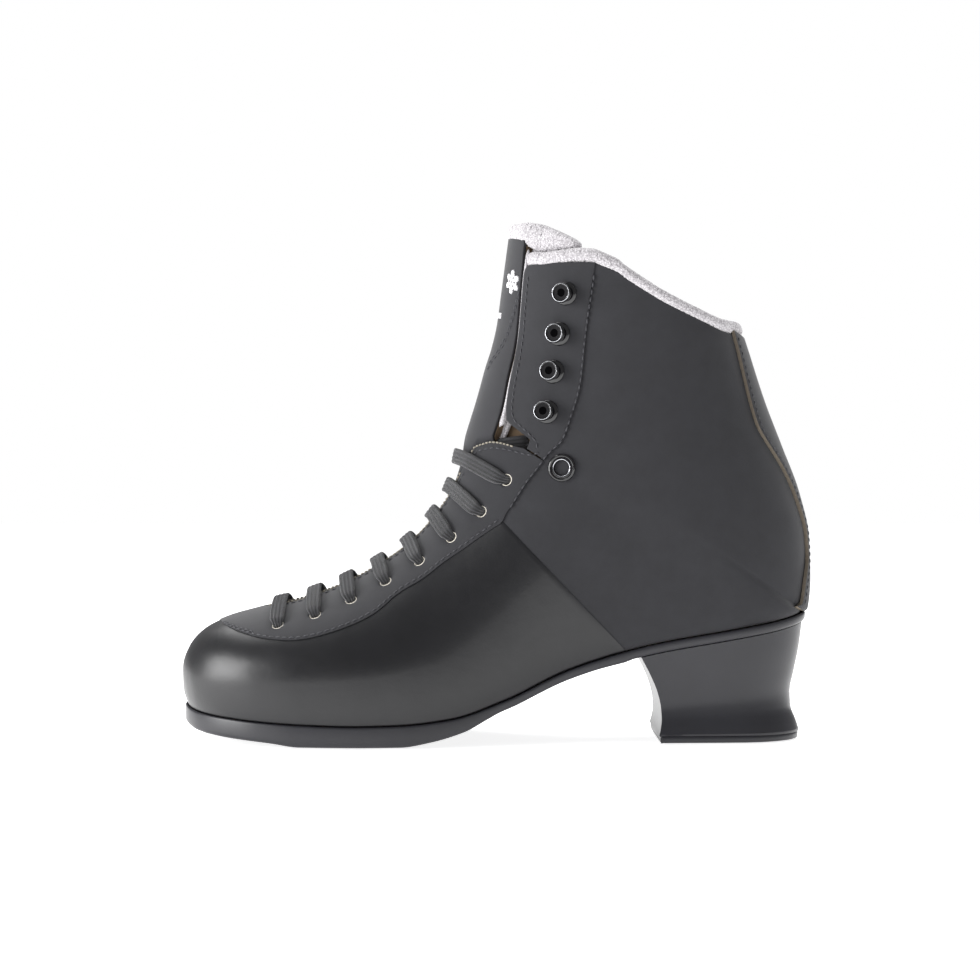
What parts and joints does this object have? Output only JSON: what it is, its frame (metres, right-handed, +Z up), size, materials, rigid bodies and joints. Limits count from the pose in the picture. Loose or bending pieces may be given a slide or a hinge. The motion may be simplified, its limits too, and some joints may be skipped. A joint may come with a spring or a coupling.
{
  "type": "figure skating boot",
  "caption": "Lace-up figure skating boot for the left foot, with padded tongue, hooks, eyelets and raised heel; the blade is not fitted.",
  "frame": {"origin": "on the floor under the middle of the boot's length and width", "axes": "+X from toe to heel, +Y towards the inner side of the foot, +Z up"},
  "size_m": [0.2854, 0.099, 0.2331],
  "materials": {
    "sole": "satin black",
    "smooth_leather": "smooth satin black",
    "matt_leather": "matt nubuck, charcoal",
    "terry": "white terry cloth",
    "lining": "soft knitted lining",
    "foam": "open foam",
    "board": "fibre board",
    "steel": "spring steel",
    "black_metal": "gloss black",
    "lace": "flat woven, charcoal",
    "lace_tie": "black elastic",
    "aglet": "clear black"
  },
  "bodies": {
    "boot": {"aglet_inner": "aglet", "aglet_outer": "aglet", "backstay": "matt_leather", "collar_roll": "terry", "eyelet_inner": "black_metal", "eyelet_outer": "black_metal", "footbed": "lining", "heel_block": "sole", "heel_counter": "board", "heel_lift": "sole", "hook_facing_inner": "matt_leather", "hook_facing_outer": "matt_leather", "hook_inner_1": "black_metal", "hook_inner_2": "black_metal", "hook_inner_3": "black_metal", "hook_inner_4": "black_metal", "hook_outer_1": "black_metal", "hook_outer_2": "black_metal", "hook_outer_3": "black_metal", "hook_outer_4": "black_metal", "insole_board": "board", "lace": "lace", "lace_hank_inner": "lace", "lace_hank_outer": "lace", "lace_stay": "matt_leather", "lace_tail_inner": "lace", "lace_tail_outer": "lace", "lace_tie_inner": "lace_tie", "lace_tie_outer": "lace_tie", "lining": "lining", "outsole": "sole", "quarter_foam_inner": "foam", "quarter_foam_outer": "foam", "quarter_inner": "matt_leather", "quarter_outer": "matt_leather", "shank": "steel", "smooth_vamp": "smooth_leather", "toe_puff": "board", "tongue_root": "matt_leather"},
    "tongue": {"tongue_front": "matt_leather", "tongue_lining": "terry", "tongue_band": "terry"}
  },
  "joints": [
    {"name": "tongue_flex", "type": "hinge", "parent": "boot", "child": "tongue", "pos_m": [-0.01134, -0.00036, 0.13523], "axis": [0, -1, 0], "range_deg": [0, 35], "stiffness_Nm_per_rad": 0.05}
  ]
}
